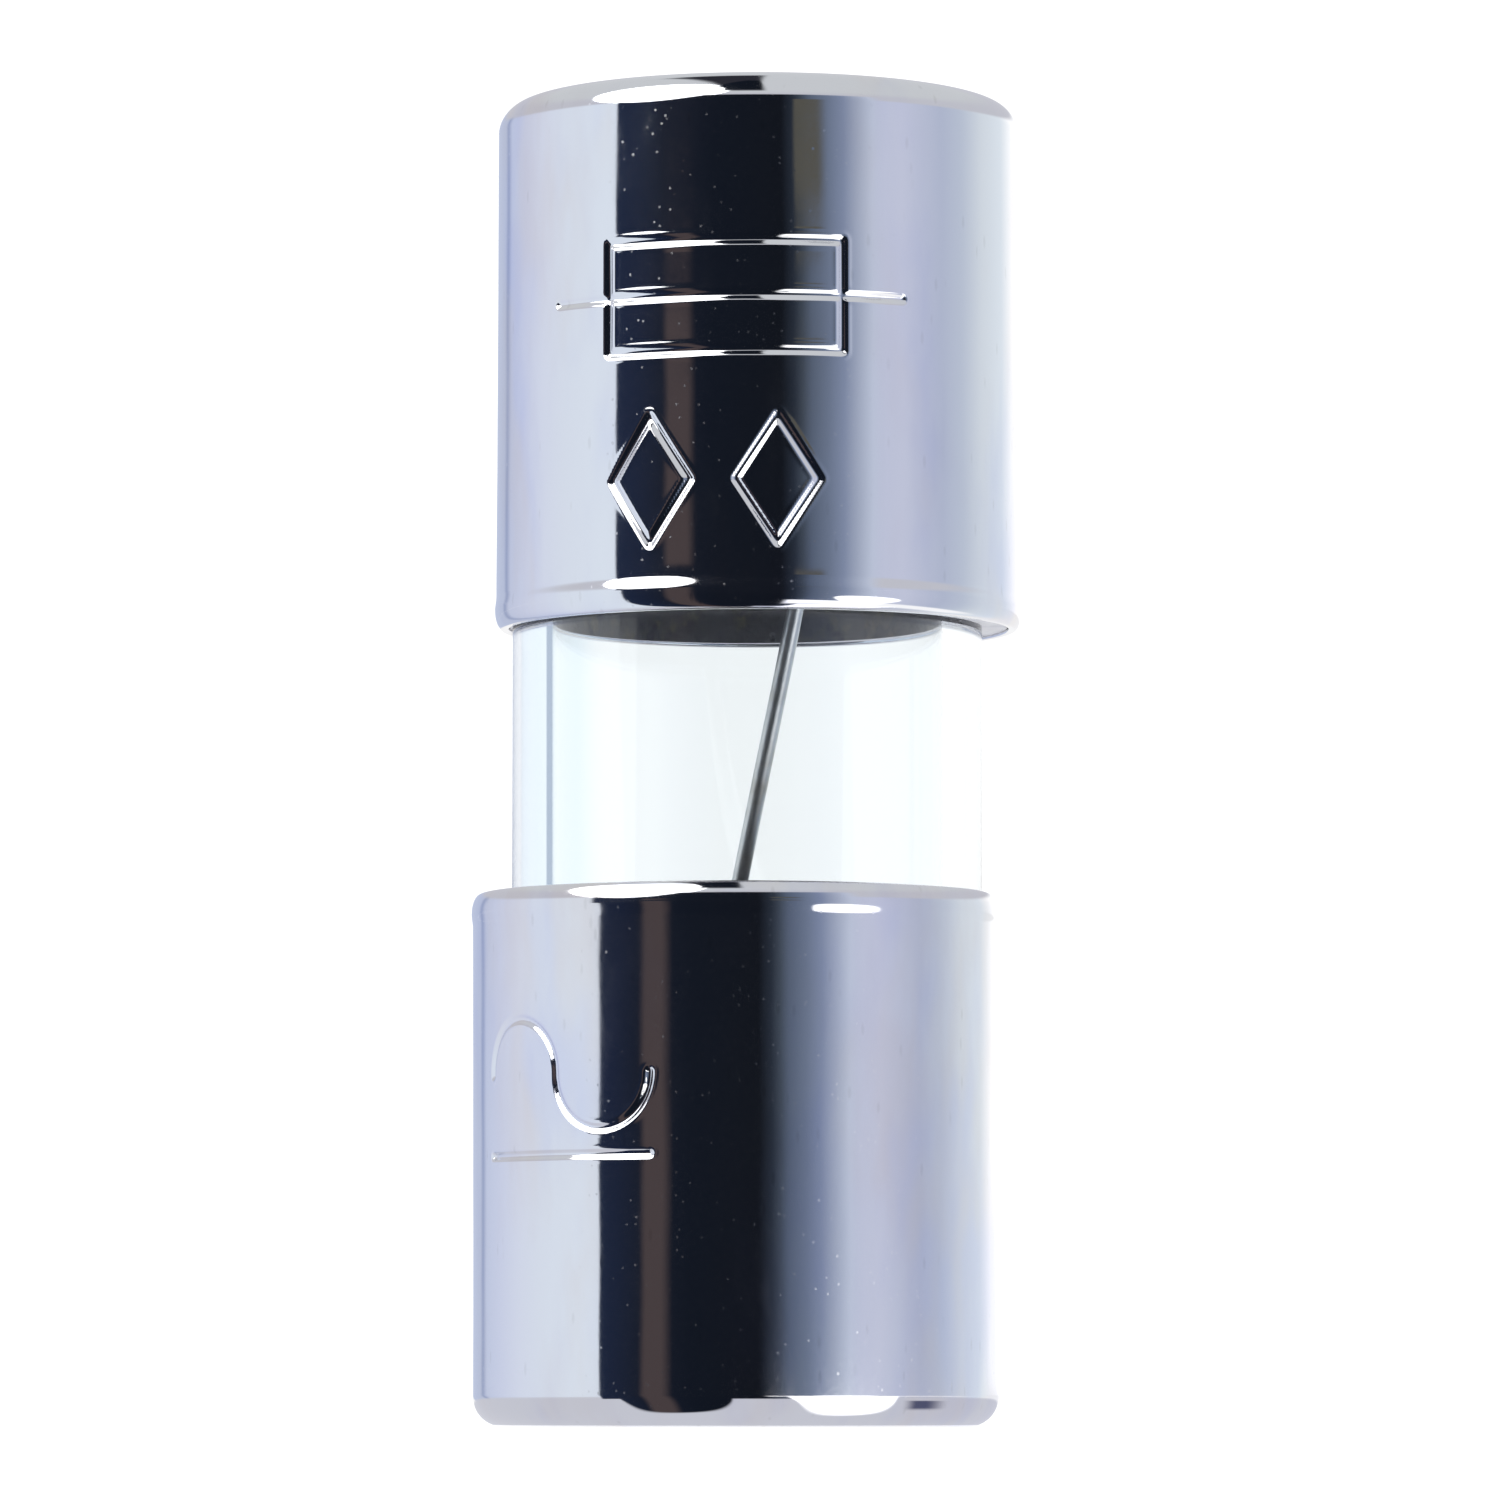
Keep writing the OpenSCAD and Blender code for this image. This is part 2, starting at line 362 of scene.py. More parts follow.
def tarnish():
    """A finish that is clean in places and clouded in others."""
    name = "Tarnish"
    if name in bpy.data.node_groups:
        return bpy.data.node_groups[name]
    group, given, out = group_with(
        name,
        [("Vector", "NodeSocketVector", None), ("Scale", "NodeSocketFloat", 300.0),
         ("Amount", "NodeSocketFloat", 0.5),
         ("Clean", "NodeSocketColor", None), ("Warm", "NodeSocketColor", None),
         ("Cool", "NodeSocketColor", None),
         ("Clean Roughness", "NodeSocketFloat", 0.1),
         ("Clouded Roughness", "NodeSocketFloat", 0.25)],
        [("Colour", "NodeSocketColor"), ("Roughness", "NodeSocketFloat")])
    put = given.outputs
    cloud = add(group, "ShaderNodeTexNoise",
                {"Vector": put["Vector"], "Scale": put["Scale"], "Detail": 4.0,
                 "Roughness": 0.6})
    mask = fade(group, cloud.outputs["Fac"], 0.42, 0.68)
    other = add(group, "ShaderNodeTexNoise",
                {"Vector": put["Vector"], "Detail": 2.0,
                 "Scale": maths(group, "MULTIPLY", put["Scale"], 1.7)})
    hue = fade(group, other.outputs["Fac"], 0.4, 0.6)
    tint = mix(group, hue, put["Warm"], put["Cool"])
    amount = maths(group, "MULTIPLY", mask, put["Amount"], clamp=True)
    group.links.new(mix(group, amount, put["Clean"], tint), out.inputs["Colour"])
    rough = add(group, "ShaderNodeMapRange",
                {"Value": amount, "To Min": put["Clean Roughness"],
                 "To Max": put["Clouded Roughness"]})
    group.links.new(rough.outputs["Result"], out.inputs["Roughness"])
    return group


# ---- materials

def stretched_coordinates(tree, stretch):
    """Object coordinates, with a pattern drawn out along the fuse."""
    where = add(tree, "ShaderNodeTexCoord")
    return add(tree, "ShaderNodeMapping",
               {"Vector": where.outputs["Object"],
                "Scale": (1.0, 1.0, 1.0 / stretch)}).outputs["Vector"]


def times(colour, shares):
    """A colour with each channel taken down to a share of itself."""
    return [channel * share for channel, share in zip(colour, shares)]


def clouded(tree, where, scale, amount, clean, warm, cool, roughness):
    """A tarnished finish: three colours, and the roughness where clean and clouded."""
    return place_group(tree, tarnish(), {
        "Vector": where, "Scale": scale, "Amount": amount, "Clean": (*clean, 1.0),
        "Warm": (*warm, 1.0), "Cool": (*cool, 1.0),
        "Clean Roughness": roughness[0], "Clouded Roughness": roughness[1]}).outputs


def uneven(tree, where, wave, grain, pits):
    """An uneven surface from the (scale, amount) of its waves, grain and pits."""
    return place_group(tree, uneven_surface(), {
        "Vector": where, "Wave Scale": wave[0], "Wave": wave[1],
        "Grain Scale": grain[0], "Grain": grain[1],
        "Pit Scale": pits[0], "Pits": pits[1]}).outputs


def bumped(tree, height, distance):
    return add(tree, "ShaderNodeBump", {"Height": height, "Strength": 1.0,
                                        "Distance": distance}).outputs["Normal"]


def nickel_plating(colour, roughness):
    material, tree = new_material("Nickel plating")
    drawn = stretched_coordinates(tree, 3.0)
    plain = add(tree, "ShaderNodeTexCoord").outputs["Object"]
    cloud = clouded(tree, drawn, 560.0, 0.9, colour, times(colour, (0.96, 0.91, 0.88)),
                    times(colour, (0.86, 0.87, 0.98)), (roughness, roughness * 2.0))
    surface = uneven(tree, drawn, (900.0, 0.55), (9000.0, 0.05), (9000.0, 0.03))
    # Fine grain, dull specks of dust and faint smears
    fine = add(tree, "ShaderNodeTexNoise",
               {"Vector": plain, "Scale": 16000.0, "Detail": 2.0}).outputs["Fac"]
    dust = place_group(tree, uneven_surface(), {"Vector": plain, "Pit Scale": 13000.0})
    smear = add(tree, "ShaderNodeTexNoise",
                {"Vector": drawn, "Scale": 1500.0, "Detail": 4.0, "Roughness": 0.65})
    rough = cloud["Roughness"]
    for mask, amount in ((fine, 0.03), (dust.outputs["Pit Mask"], 0.16),
                         (fade(tree, smear.outputs["Fac"], 0.52, 0.78), 0.05)):
        rough = maths(tree, "MULTIPLY_ADD", mask, amount, rough)
    stained = mix(tree, maths(tree, "MULTIPLY", surface["Pit Mask"], 0.16),
                  cloud["Colour"], (0.45, 0.44, 0.42))
    principled(tree, {"Base Color": stained, "Metallic": 1.0, "Roughness": rough},
               bumped(tree, surface["Height"], 0.0035 * MM))
    return material


def clear_glass(tint):
    material, tree = new_material("Clear glass")
    surface = uneven(tree, stretched_coordinates(tree, 12.0),
                     (700.0, 0.5), (3000.0, 0.03), (2500.0, 0.0))
    principled(tree, {"Base Color": (*tint, 1.0), "Roughness": 0.0, "IOR": 1.5,
                      "Transmission Weight": 1.0},
               bumped(tree, surface["Height"], 0.001 * MM))
    return material


def clouded_metal(name, cloud_sizes, colours, roughness, surface_sizes, depth):
    """A metal's finish from its cloud's (scale, amount), its three colours, and the
    sizes and the depth of its uneven surface."""
    material, tree = new_material(name)
    where = add(tree, "ShaderNodeTexCoord").outputs["Object"]
    cloud = clouded(tree, where, *cloud_sizes, *colours, roughness)
    surface = uneven(tree, where, *surface_sizes)
    principled(tree, {"Base Color": cloud["Colour"], "Metallic": 1.0,
                      "Roughness": cloud["Roughness"]},
               bumped(tree, surface["Height"], depth))
    return material


def tinned_wire(colour):
    colours = (colour, times(colour, (0.72, 0.68, 0.62)), times(colour, (0.75, 0.78, 0.84)))
    return clouded_metal("Tinned wire", (1400.0, 0.8), colours, (0.32, 0.42),
                         ((1500.0, 0.6), (14000.0, 0.12), (9000.0, 0.2)), 0.008 * MM)


def satin_solder():
    colours = ((0.62, 0.62, 0.63), (0.42, 0.36, 0.27), (0.38, 0.39, 0.42))
    return clouded_metal("Satin solder", (1500.0, 1.0), colours, (0.2, 0.45),
                         ((1800.0, 1.0), (9000.0, 0.3), (4000.0, 0.5)), 0.03 * MM)


def dry_cement():
    material, tree = new_material("Dry cement")
    where = add(tree, "ShaderNodeTexCoord").outputs["Object"]
    # The cement's greys are partly its own colour and partly painted shade for the dim inside of the
    # cap; its warm clouds are painted glints
    cloud = clouded(tree, where, 2300.0, 1.0, (0.36, 0.35, 0.38), (0.50, 0.46, 0.39),
                    (0.25, 0.24, 0.29), (0.35, 0.7))
    surface = uneven(tree, where, (2200.0, 1.0), (7000.0, 0.6), (5000.0, 0.6))
    # The free face, at the cap's open end, is painted paler than where it lies on the glass: painted
    # light, as that face sits in the cap's shade
    facing = add(tree, "ShaderNodeNewGeometry").outputs["Normal"]
    upright = maths(tree, "ABSOLUTE", add(tree, "ShaderNodeSeparateXYZ",
                                          {"Vector": facing}).outputs["Z"])
    colour = mix(tree, fade(tree, upright, 0.5, 0.9), cloud["Colour"], (0.74, 0.74, 0.80))
    principled(tree, {"Base Color": colour, "Roughness": cloud["Roughness"]},
               bumped(tree, surface["Height"], 0.03 * MM))
    return material


# ---- caps

# How far below the lip the side ends and the lip's slope begins, in millimetres
BELOW_LIP = 0.1


def stamped_lines(which):
    """The marks on a cap, unrolled: lines as (x0, z0, x1, z1) and half rings as
    (x, z, radius, up). x runs round the cap from the mark's middle, z along the fuse,
    in millimetres. The marks are plain signs: a fuse symbol, two diamonds, and one
    wave over a bar."""
    if which == "upper":
        lines = [(-1.45, 13.86, 1.45, 13.86), (-1.45, 12.56, 1.45, 12.56),
                 (-1.45, 12.56, -1.45, 13.86), (1.45, 12.56, 1.45, 13.86),
                 (-2.25, 13.21, 2.25, 13.21)]
        for middle in (-0.887, 0.665):
            for x in (-0.5, 0.5):
                for z in (-0.75, 0.75):
                    lines.append((middle + x, 11.05, middle, 11.05 + z))
        return -98.0, lines, []
    return -132.0, [(-1.3, 3.18, 1.3, 3.18)], [(-0.65, 4.13, 0.65, 1), (0.65, 4.13, 0.65, -1)]


def distance_to_lines(x, z, lines, rings):
    """Distance of each point of the unrolled side from the nearest stamped line."""
    nearest = np.full(x.shape, 1e3)
    for x0, z0, x1, z1 in lines:
        dx, dz = x1 - x0, z1 - z0
        along = np.clip(((x - x0) * dx + (z - z0) * dz) / (dx * dx + dz * dz), 0, 1)
        nearest = np.minimum(nearest, np.hypot(x - x0 - along * dx, z - z0 - along * dz))
    for cx, cz, radius, up in rings:
        side = (z - cz) * up >= 0
        round_part = np.abs(np.hypot(x - cx, z - cz) - radius)
        ends = np.minimum(np.hypot(x - cx - radius, z - cz), np.hypot(x - cx + radius, z - cz))
        nearest = np.minimum(nearest, np.where(side, round_part, ends))
    return nearest


def cap_section(s, dense_from, dense_to):
    """A cap's section from the middle of its closed end out, up to the rim and back
    inside: (radius, height) in millimetres, with the closed end at height 0."""
    radius, length, wall = s.radius / MM, s.length / MM, s.wall / MM
    corner, draft = s.corner / MM, s.draft / MM
    step, lip, grid = s.lip_step / MM, s.lip_height / MM, s.grid / MM
    closed_r = radius - draft
    flat_r = closed_r - corner
    points = [(r, 0.014 * (1 - (r / flat_r) ** 2) ** 2)
              for r in flat_r * np.linspace(0, 1, 14)[:-1]]
    points += arc((flat_r, corner), corner, -90, 0, 22)[:-1]
    lip_low = length - lip
    # Close rows after the corner keep its shading off the side
    heights = [corner, corner + 0.012, corner + 0.05,
               *np.arange(corner + 0.2, dense_from, 0.2),
               *np.arange(dense_from, dense_to, grid),
               *np.arange(dense_to, lip_low - 0.12, 0.2)]
    side_top = radius - step - 0.001
    for z in heights:
        share = (z - corner) / (lip_low - BELOW_LIP - corner)
        points.append((closed_r + (side_top - closed_r) * share * share, z))
    # The lip's slope eases in and out
    slope_low, slope_high = lip_low - 0.095, lip_low + 0.055
    for share in np.linspace(0, 1, 21):
        eased = 0.5 * share + 0.5 * share * share * (3 - 2 * share)
        points.append((side_top + step * eased,
                       slope_low + (slope_high - slope_low) * share))
    # The rim's outer edge is a quarter of an ellipse, and its inner edge a small round
    edge, edge_high, inner_edge = 0.105, 0.235, 0.03
    points += [(radius - 0.002 - edge + edge * math.cos(t),
                length - edge_high + edge_high * math.sin(t))
               for t in np.linspace(0, math.pi / 2, 22)]
    inner_r = radius - wall
    points += arc((inner_r + inner_edge, length - inner_edge), inner_edge, 90, 180, 7)
    floor, inner_corner = 0.2, 0.2
    points += [(inner_r, z) for z in np.linspace(length - 0.4, floor + inner_corner, 8)]
    points += arc((inner_r - inner_corner, floor + inner_corner), inner_corner, 0, -90, 7)[1:]
    points += [(r, floor) for r in (inner_r - inner_corner) * np.linspace(1, 0, 6)[1:]]
    return np.array(points)


def build_cap(s, which):
    """A drawn cap as one closed mesh, with its marks stamped in."""
    low, high = node_box(f"{which}_cap")
    axis_x, axis_y = node_axis(f"{which}_cap")
    mark_angle, lines, rings = stamped_lines(which)
    upper = which == "upper"
    reach = s.stamp_width / MM * 1.3
    xs = [v for line in lines for v in (line[0], line[2])]
    xs += [ring[0] + e * ring[2] for ring in rings for e in (-1, 1)]
    zs = [v for line in lines for v in (line[1], line[3])]
    zs += [ring[1] + e * ring[2] for ring in rings for e in (-1, 1)]
    z_from, z_to = min(zs) - reach, max(zs) + reach
    if upper:
        z_from, z_to = high.z / MM - z_to, high.z / MM - z_from
    section = cap_section(s, z_from, z_to)
    radius = s.radius / MM

    grid = math.degrees(s.grid / MM / radius)
    first = mark_angle + math.degrees((min(xs) - reach) / radius)
    last = mark_angle + math.degrees((max(xs) + reach) / radius)
    fine = np.linspace(first, last, round((last - first) / grid) + 1)
    rest = np.linspace(last, first + 360, round((first + 360 - last) / 1.8) + 1)
    angles = np.concatenate([fine, rest[1:-1]])
    a, rows = np.radians(angles), len(section)

    r = np.repeat(section[:, :1], len(a), axis=1)
    h = np.repeat(section[:, 1:], len(a), axis=1)
    z = high.z / MM - h if upper else low.z / MM + h
    # The outside of the side, between the closed end's corner and the lip
    top = int(np.argmax(section[:, 1]))
    is_side = (section[:, 0] > radius * 0.9) & (np.arange(rows) < top)
    # A drawn cap is never quite round: a few long, shallow waves
    turn = np.repeat(a[None, :], rows, axis=0)
    phase = 0.7 if upper else 2.3
    waves = (0.0011 * np.sin(3 * turn + 0.9 * h + phase)
             + 0.0007 * np.sin(7 * turn - 1.7 * h + 2 * phase)
             + 0.0004 * np.sin(13 * turn + 2.9 * h + phase)
             + 0.0003 * np.sin(5 * turn + 6.1 * h))
    r = r + np.where(is_side[:, None], waves - 0.0025, 0)
    # The stamped lines, with the metal that they push up at their edges
    x = radius * np.radians((angles - mark_angle + 180) % 360 - 180)[None, :] + 0 * h
    gap = distance_to_lines(x, z, lines, rings) / (s.stamp_width / MM)
    pressed = np.clip((0.5 - gap) / 0.42, 0, 1)
    pressed = pressed * pressed * (3 - 2 * pressed)
    pushed = np.exp(-((gap - 0.62) / 0.17) ** 2)
    hand = 1 + 0.18 * np.sin(2.1 * x + 1.3 * z) + 0.1 * np.sin(5.7 * x - 3.1 * z)
    cut = (0.0028 * pushed - s.stamp_depth / MM * pressed) * hand
    inside_side = is_side & (section[:, 1] > s.corner / MM) \
        & (section[:, 1] < (s.length - s.lip_height) / MM - BELOW_LIP)
    r = r + np.where(inside_side[:, None], cut, 0)

    points = np.stack([(r * np.cos(a)) * MM + axis_x, (r * np.sin(a)) * MM + axis_y, z * MM],
                      axis=-1).reshape(-1, 3)
    count = len(a)
    faces = []
    for i in range(rows - 1):
        for j in range(count):
            k = (j + 1) % count
            p, q = i * count + j, i * count + k
            t, u = (i + 1) * count + k, (i + 1) * count + j
            if i == 0:
                faces.append((p, t, u))
            elif i == rows - 2:
                faces.append((p, q, u))
            else:
                faces.append((p, q, t, u))
    # One point at each pole
    remap = np.arange(len(points))
    remap[:count] = 0
    remap[(rows - 1) * count:] = (rows - 1) * count
    used, packed = np.unique(remap, return_inverse=True)
    faces = [tuple(int(packed[v]) for v in face) for face in faces]
    return mesh_object(f"{which}_cap_drawn", points[used], faces)


class FUSE_OT_caps(bpy.types.Operator):
    """Make both drawn caps with their stamped marks"""
    bl_idname = "fuse.caps"
    bl_label = "Caps"

    def execute(self, context):
        s = context.scene.fuse_caps
        plating = nickel_plating(s.plating, s.roughness)
        for which in ("upper", "lower"):
            cap = build_cap(s, which)
            cap.data.materials.append(plating)
            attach(cap, "root")
            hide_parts(f"{which}_cap")
        return {"FINISHED"}


# ---- glass tube

def geometry_nodes(name, lengths, counts):
    """An empty geometry node tree with named lengths, counts and a material."""
    geometry = ("Geometry", "NodeSocketGeometry")
    tree, given, out = group_with(
        name,
        [(*geometry, None)]
        + [(label, "NodeSocketFloat", None) for label in lengths]
        + [(label, "NodeSocketInt", count) for label, count in counts.items()]
        + [("Material", "NodeSocketMaterial", None)], [geometry], "GeometryNodeTree")
    for item in tree.interface.items_tree:
        if item.name in lengths:
            item.subtype = "DISTANCE"
            item.default_value = lengths[item.name]
    return tree, given.outputs, out


def end_geometry(tree, mesh, material, out):
    """Ends a geometry node tree with a real mesh in its material."""
    real = add(tree, "GeometryNodeRealizeInstances", {"Geometry": mesh})
    dressed = add(tree, "GeometryNodeSetMaterial",
                  {"Geometry": real.outputs["Geometry"], "Material": material})
    tree.links.new(dressed.outputs["Geometry"], out.inputs["Geometry"])


def tube_nodes():
    """Geometry nodes for a tube with fire-polished rims, standing on its lower end."""
    tree, given, out = geometry_nodes(
        "Glass Tube",
        {"Outer Radius": 0.0028, "Wall": 0.0005, "Length": 0.015, "Foot Height": 0.0},
        {"Around": 256, "Rim Steps": 12})
    half_wall = maths(tree, "MULTIPLY", given["Wall"], 0.5)
    middle = maths(tree, "SUBTRACT", given["Outer Radius"], half_wall)
    ring = add(tree, "GeometryNodeCurvePrimitiveCircle",
               {"Radius": middle, "Resolution": given["Around"]}, mode="RADIUS")
    section = add(tree, "GeometryNodeCurvePrimitiveQuadrilateral",
                  {"Width": given["Wall"], "Height": given["Length"]}, mode="RECTANGLE")
    rounded = add(tree, "GeometryNodeFilletCurve",
                  {"Curve": section.outputs["Curve"],
                   "Radius": maths(tree, "MULTIPLY", half_wall, 0.98),
                   "Limit Radius": True}, mode="POLY")
    tree.links.new(given["Rim Steps"], rounded.inputs["Count"])
    swept = add(tree, "GeometryNodeCurveToMesh",
                {"Curve": ring.outputs["Curve"], "Profile Curve": rounded.outputs["Curve"]})
    lift = add(tree, "ShaderNodeCombineXYZ",
               {"Z": maths(tree, "MULTIPLY_ADD", given["Length"], 0.5, given["Foot Height"])})
    raised = add(tree, "GeometryNodeTransform",
                 {"Geometry": swept.outputs["Mesh"], "Translation": lift.outputs["Vector"]})
    end_geometry(tree, raised.outputs["Geometry"], given["Material"], out)
    return tree


def with_nodes(source, tree, values):
    """Puts a node tree on an object as a modifier, with its inputs by name."""
    modifier = source.modifiers.new(tree.name, "NODES")
    modifier.node_group = tree
    for item in tree.interface.items_tree:
        if item.item_type == "SOCKET" and item.in_out == "INPUT" and item.name in values:
            modifier[item.identifier] = values[item.name]


def empty_source(name, points=(), edges=()):
    mesh = bpy.data.meshes.new(name)
    mesh.from_pydata([tuple(p) for p in points], list(edges), [])
    return put_in_scene(name, mesh)


class FUSE_OT_glass(bpy.types.Operator):
    """Make the glass tube"""
    bl_idname = "fuse.glass"
    bl_label = "Glass Tube"

    def execute(self, context):
        s = context.scene.fuse_glass
        low, _ = node_box("glass_tube")
        glass = clear_glass(s.tint)
        source = empty_source("glass_source")
        # The glass reaches a little into the cement, so that they share one surface
        with_nodes(source, tube_nodes(), {
            "Outer Radius": s.radius + 0.003 * MM, "Wall": s.wall, "Length": s.length,
            "Foot Height": low.z, "Material": glass})
        tube = plain_mesh(source, "glass_tube_clear")
        size = list(tube.dimensions)
        if abs(size[2] - s.length) > 1e-5 or abs(size[0] - 2 * s.radius) > 2e-5:
            raise RuntimeError(f"the glass tube came out at {size}")
        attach(tube, "root")
        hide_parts("glass_tube")
        return {"FINISHED"}


# ---- fuse wire

def wire_route(s, glass):
    """The wire's middle line: up the lower tail, over the lower rim, across the tube,
    over the upper rim and down the upper tail."""
    clear = 0.02 * MM
    rim = glass.wall / 2
    bend_r = rim + clear + s.diameter / 2
    low, high = node_box("glass_tube")
    bend_z = high.z - rim
    middle_z = (low.z + high.z) / 2
    bend_u = math.sqrt((glass.radius - rim) ** 2 - s.offset ** 2)
    rise = bend_z - middle_z
    lean = math.acos(bend_r / math.hypot(bend_u, rise)) - math.atan2(rise, bend_u)
    half = [(bend_u + bend_r, bend_z - share * s.tail) for share in np.linspace(1, 0, 7)[:-1]]
    half += [(bend_u + u, bend_z + z)
             for u, z in arc((0, 0), bend_r, 0, 180 - math.degrees(lean), 17)]
    # A hand-drawn wire is not quite straight
    start = Vector((half[-1][0], 0, half[-1][1]))
    end = Vector((0, 0, middle_z))
    half = [(u, 0.0, z) for u, z in half]
    for share in np.linspace(0, 1, 25)[1:]:
        p = start.lerp(end, share)
        sway = math.sin(math.pi * share) * math.sin(7 * share + 0.6)
        half.append((p.x + 0.012 * MM * sway, 0.008 * MM * sway, p.z))
    other = [(-u, n, 2 * middle_z - z) for u, n, z in reversed(half[:-1])]
    c, t = math.cos(s.turn), math.sin(s.turn)
    return [Vector((u * c - (n + s.offset) * t, u * t + (n + s.offset) * c, z))
            for u, n, z in half + other]


def wire_nodes():
    """Geometry nodes that draw a round wire along a line of points."""
    tree, given, out = geometry_nodes("Drawn Wire", {"Diameter": 0.0002, "Step": 0.00005},
                                      {"Sides": 20})
    line = add(tree, "GeometryNodeMeshToCurve", {"Mesh": given["Geometry"]})
    even = tree.nodes.new("GeometryNodeResampleCurve")
    even.mode = "LENGTH"
    tree.links.new(line.outputs["Curve"], even.inputs["Curve"])
    tree.links.new(given["Step"], even.inputs["Length"])
    ring = add(tree, "GeometryNodeCurvePrimitiveCircle",
               {"Radius": maths(tree, "MULTIPLY", given["Diameter"], 0.5),
                "Resolution": given["Sides"]}, mode="RADIUS")
    swept = add(tree, "GeometryNodeCurveToMesh",
                {"Curve": even.outputs["Curve"], "Profile Curve": ring.outputs["Curve"],
                 "Fill Caps": True})
    end_geometry(tree, swept.outputs["Mesh"], given["Material"], out)
    return tree


class FUSE_OT_wire(bpy.types.Operator):
    """Make the fuse wire, hooked over both rims of the glass"""
    bl_idname = "fuse.wire"
    bl_label = "Fuse Wire"

    def execute(self, context):
        s = context.scene.fuse_wire
        route = wire_route(s, context.scene.fuse_glass)
        source = empty_source("wire_source", route,
                              [(i, i + 1) for i in range(len(route) - 1)])
        with_nodes(source, wire_nodes(), {
            "Diameter": s.diameter, "Material": tinned_wire(s.colour)})
        wire = plain_mesh(source, "fuse_wire_drawn")
        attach(wire, "root")
        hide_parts("fuse_wire")
        return {"FINISHED"}


# ---- solder and cement

class FUSE_OT_fillings(bpy.types.Operator):
    """Finish the solder and the cement inside the caps"""
    bl_idname = "fuse.fillings"
    bl_label = "Solder and Cement"

    def execute(self, context):
        finishes = {"solder": satin_solder(), "cement": dry_cement()}
        for which in ("upper", "lower"):
            for kind, finish in finishes.items():
                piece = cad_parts[f"{which}_{kind}"]
                piece.data.materials.clear()
                piece.data.materials.append(finish)
        return {"FINISHED"}


# ---- stage

# The dark card's left and right end, as turns from -Y in degrees
CARD_LEFT, CARD_RIGHT = -70.0, 60.0


def turn_ramp(tree, degrees, low, high, stops):
    """A colour ramp over turns from low to high, from (turn, colour) stops in degrees."""
    place = maths(tree, "DIVIDE", maths(tree, "SUBTRACT", degrees, low), high - low)
    return ramp(tree, place, [((turn - low) / (high - low), colour) for turn, colour in stops])


def turn_in_degrees(tree, axes):
    """The turn of a direction or a place from -Y, positive towards +X."""
    back = maths(tree, "MULTIPLY", axes["Y"], -1.0)
    return maths(tree, "MULTIPLY", maths(tree, "ARCTAN2", axes["X"], back), 180 / math.pi)


def wall_colours(tree, degrees, backdrop=1.0):
    """The colour of the studio's walls at a turn in degrees."""
    white = (backdrop, backdrop, backdrop)
    return turn_ramp(tree, degrees, -180.0, 180.0, [
        (-180, white), (-173, white), (-170, (0.56, 0.62, 0.79)),
        (-150, (0.56, 0.62, 0.79)), (-146, (0.36, 0.42, 0.62)),
        (-141, (0.62, 0.68, 0.86)), (-125, (0.70, 0.75, 0.92)),
        (-109, (0.78, 0.83, 0.96)), (-95, (0.81, 0.87, 0.97)),
        (-72, (0.84, 0.91, 1.0)), (-40, (0.80, 0.86, 0.96)),
        (20, (0.60, 0.66, 0.80)), (46, (0.60, 0.64, 0.80)),
        (66, (0.64, 0.67, 0.82)), (88, (0.52, 0.57, 0.72)),
        (101, (0.58, 0.64, 0.76)), (116, (0.76, 0.82, 0.88)),
        (135, (0.85, 0.92, 0.98)), (150, white), (180, white)])


def studio_world(backdrop):
    """A pale studio: a white wall behind the fuse, and dimmer walls at its sides."""
    world = bpy.data.worlds.new("Studio")
    world.use_nodes = True
    tree = world.node_tree
    tree.nodes.clear()
    where = add(tree, "ShaderNodeTexCoord")
    axes = add(tree, "ShaderNodeSeparateXYZ", {"Vector": where.outputs["Generated"]}).outputs
    degrees = turn_in_degrees(tree, axes)
    walls = wall_colours(tree, degrees, backdrop)
    # The ceiling is light grey, dimmer where it meets the walls, with a dark beam across
    height = axes["Z"]
    colour = mix(tree, fade(tree, height, 0.2, 0.28), walls, (0.63, 0.635, 0.69))
    colour = mix(tree, fade(tree, height, 0.4, 0.62), colour, (0.68, 0.70, 0.72))
    beam = product(tree, band(tree, axes["X"], -0.26, -0.19, 0.0, 0.03),
                   fade(tree, height, 0.8, 0.86), fade(tree, axes["Y"], 0.5, 0.4))
    colour = mix(tree, beam, colour, (0.03, 0.03, 0.04))
    # What the glass shows is the pale studio alone, a little bluer at its left, where
    # the edge of the backdrop makes a thin line
    pale = mix(tree, band(tree, degrees, -171.0, -163.0, -128.0, -120.0),
               (1.11, 1.107, 1.10), (0.93, 1.01, 1.06))
    line = band(tree, degrees, -134.0, -132.0, -128.0, -125.0)
    pale = mix(tree, line, pale, (0.42, 0.50, 0.62))
    through = add(tree, "ShaderNodeLightPath").outputs["Is Transmission Ray"]
    shine = add(tree, "ShaderNodeBackground",
                {"Color": mix(tree, through, colour, pale), "Strength": 1.0})
    out = tree.nodes.new("ShaderNodeOutputWorld")
    tree.links.new(shine.outputs["Background"], out.inputs["Surface"])
    bpy.context.scene.world = world


def grid_object(name, rows):
    """A sheet through rows of points that all have the same length."""
    across = len(rows[0])
    points = [point for row in rows for point in row]
    faces = [(r * across + c, r * across + c + 1, (r + 1) * across + c + 1, (r + 1) * across + c)
             for r in range(len(rows) - 1) for c in range(across - 1)]
    mesh = bpy.data.meshes.new(name)
    mesh.from_pydata(points, [], faces)
    return put_in_scene(name, mesh)


